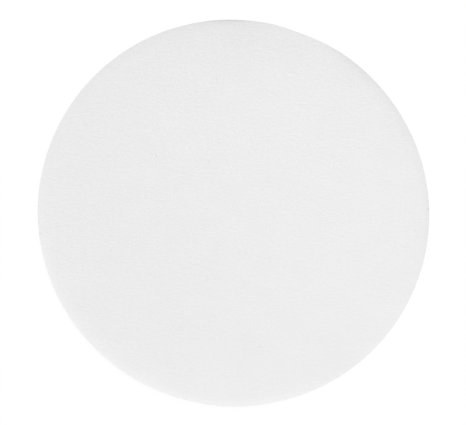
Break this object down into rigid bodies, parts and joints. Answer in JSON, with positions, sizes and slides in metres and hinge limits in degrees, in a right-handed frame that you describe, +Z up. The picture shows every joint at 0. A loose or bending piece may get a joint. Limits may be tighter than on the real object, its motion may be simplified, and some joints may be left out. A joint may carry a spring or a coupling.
{
  "type": "filter paper disc",
  "caption": "Round die-cut sheet of plain white laboratory filter paper, flat in the middle, with its rim bowed slightly up.",
  "frame": {"origin": "centre of the sheet's flat underside", "axes": "+Z up through the sheet, the way its rim bows; +X along the paper's fibres"},
  "size_m": [0.09, 0.09, 0.0007],
  "materials": {
    "filter_paper": "matte"
  },
  "bodies": {
    "root": {"filter_disc": "filter_paper"}
  },
  "joints": []
}
